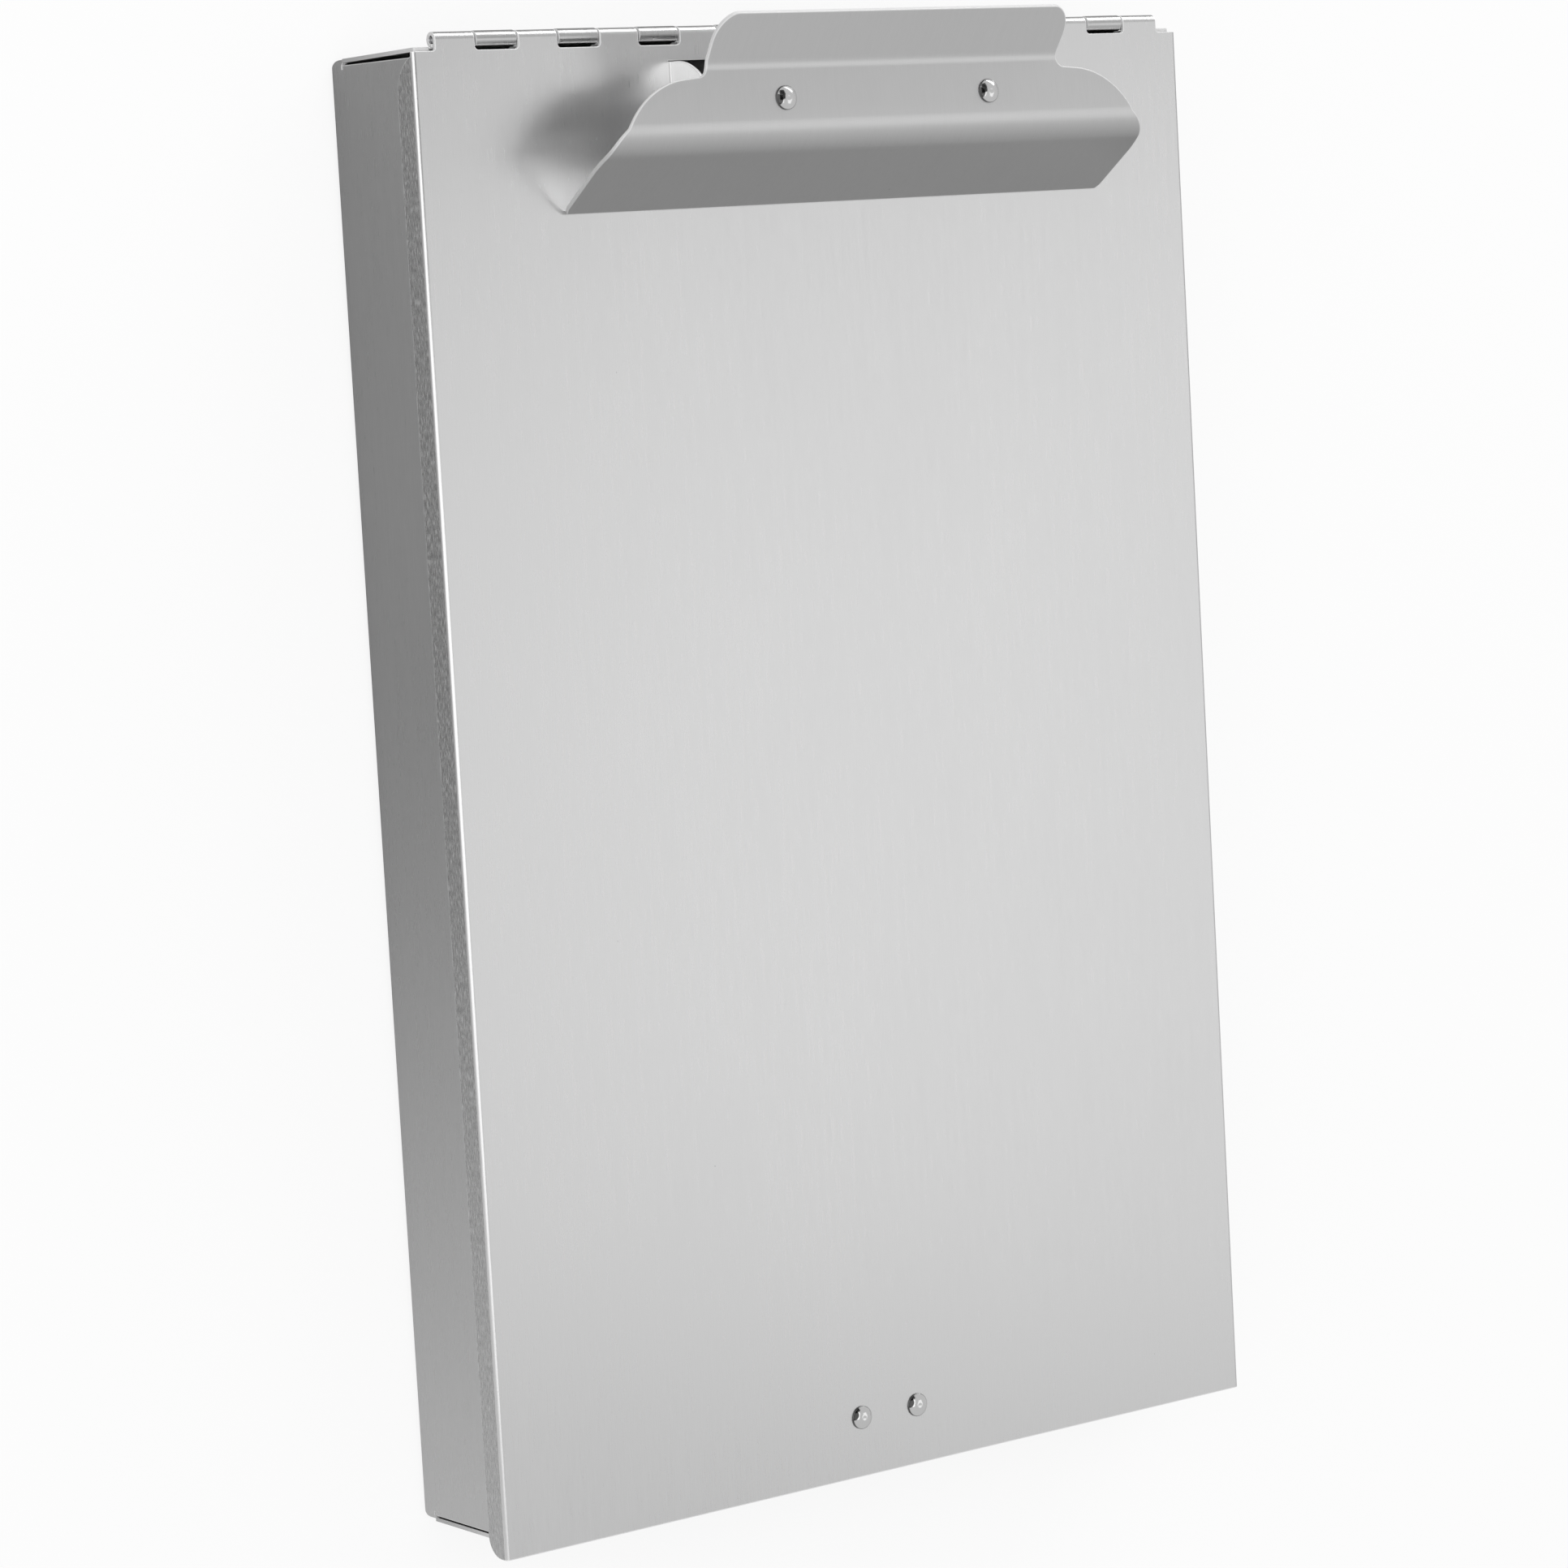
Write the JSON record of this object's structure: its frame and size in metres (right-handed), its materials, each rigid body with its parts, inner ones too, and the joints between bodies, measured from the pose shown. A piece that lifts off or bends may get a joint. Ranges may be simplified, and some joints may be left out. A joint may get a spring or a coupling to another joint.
{
  "type": "storage clipboard",
  "caption": "Metal form holder: a writing board with a sprung paper clip, hinged as the lid of a shallow storage tray for loose sheets.",
  "frame": {"origin": "centre of the flat back that the box lies on", "axes": "+X across the board to its right, +Y along the board towards the hinge and the clip, +Z out of the writing face"},
  "size_m": [0.2286, 0.3555, 0.0667],
  "materials": {
    "tray_aluminium": "fine brushed along the length",
    "board_aluminium": "fine brushed along the length",
    "lever_aluminium": "fine brushed from jaw to tab",
    "polished_rivet": "polished",
    "pin_steel": "drawn wire",
    "spring_steel": "bright spring steel",
    "bracket_steel": "zinc plated"
  },
  "bodies": {
    "tray": {"storage_tray": "tray_aluminium", "hinge_pin": "pin_steel"},
    "cover": {"writing_cover": "board_aluminium", "clip_pivot_pin": "pin_steel", "clip_spring_left": "spring_steel", "clip_spring_right": "spring_steel", "latch_leaf": "spring_steel", "latch_rivet_left": "polished_rivet", "latch_rivet_right": "polished_rivet"},
    "clip": {"clip_lever": "lever_aluminium", "clip_bracket": "bracket_steel", "clip_rivet_left": "polished_rivet", "clip_rivet_right": "polished_rivet"}
  },
  "joints": [
    {"name": "cover_hinge", "type": "hinge", "parent": "tray", "child": "cover", "pos_m": [0, 0.17555, 0.0363], "axis": [-1, 0, 0], "range_deg": [0, 155], "deforming": ["latch_leaf"]},
    {"name": "clip_hinge", "type": "hinge", "parent": "cover", "child": "clip", "pos_m": [0.0046, 0.15815, 0.04975], "axis": [-1, 0, 0], "range_deg": [0, 25], "stiffness_Nm_per_rad": 1.2, "springref_deg": -17.19, "deforming": ["clip_spring_left", "clip_spring_right"]}
  ]
}
